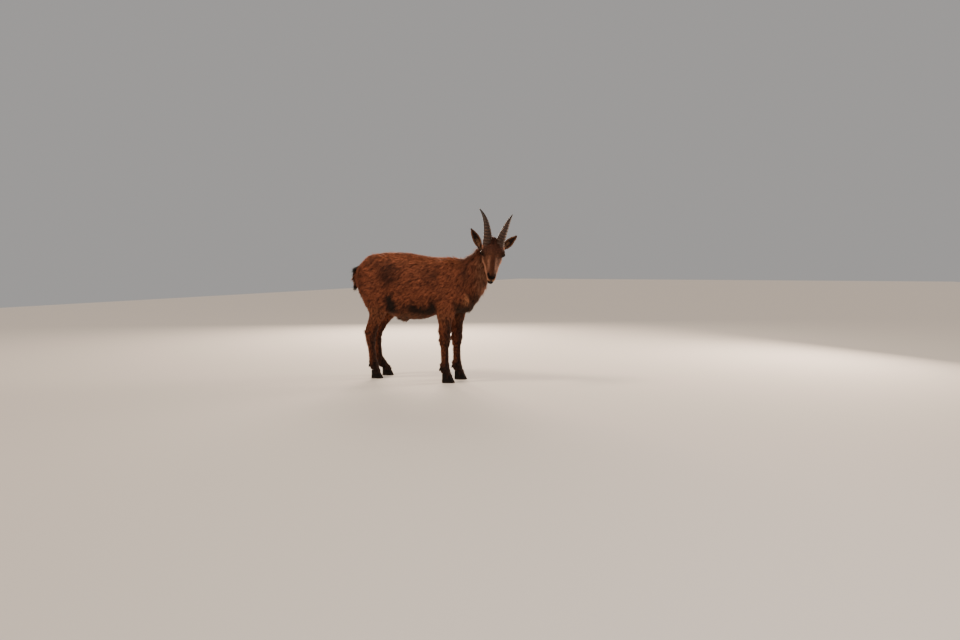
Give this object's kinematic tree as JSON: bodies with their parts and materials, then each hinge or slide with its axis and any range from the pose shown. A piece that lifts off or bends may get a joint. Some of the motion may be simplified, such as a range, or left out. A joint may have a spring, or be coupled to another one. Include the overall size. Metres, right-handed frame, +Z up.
{
  "type": "alpine ibex",
  "caption": "Young alpine ibex standing square on four legs, head turned to its right, with ringed back-swept horns, shaggy coat and short hanging tail.",
  "frame": {"origin": "middle of the whole part's outline seen from above, on the floor under the soles", "axes": "+X from tail to chest, +Y to the animal's left, +Z up; the head faces towards -Y and a little +X"},
  "size_m": [1.0218, 0.3422, 0.9546],
  "materials": {
    "coat": "shaggy red-brown hair",
    "dark_coat": "short dark brown hair",
    "horn": "dull ringed horn",
    "hoof": "worn black horn",
    "eye": "wet and glossy"
  },
  "bodies": {
    "root": {"fore_left_arm": "coat", "fore_left_forearm": "coat", "fore_left_shank": "dark_coat", "fore_left_pastern": "dark_coat", "fore_left_claw_outer": "hoof", "fore_left_claw_inner": "hoof", "fore_right_arm": "coat", "fore_right_forearm": "coat", "fore_right_shank": "dark_coat", "fore_right_pastern": "dark_coat", "fore_right_claw_outer": "hoof", "fore_right_claw_inner": "hoof", "hind_left_thigh": "coat", "hind_left_gaskin": "coat", "hind_left_shank": "dark_coat", "hind_left_pastern": "dark_coat", "hind_left_claw_outer": "hoof", "hind_left_claw_inner": "hoof", "hind_right_thigh": "coat", "hind_right_gaskin": "coat", "hind_right_shank": "dark_coat", "hind_right_pastern": "dark_coat", "hind_right_claw_outer": "hoof", "hind_right_claw_inner": "hoof", "torso": "coat", "neck": "coat", "head": "coat", "lower_jaw": "coat", "eye_left": "eye", "horn_left": "horn", "ear_left": "coat", "eye_right": "eye", "horn_right": "horn", "ear_right": "coat", "tail": "dark_coat"}
  },
  "joints": []
}
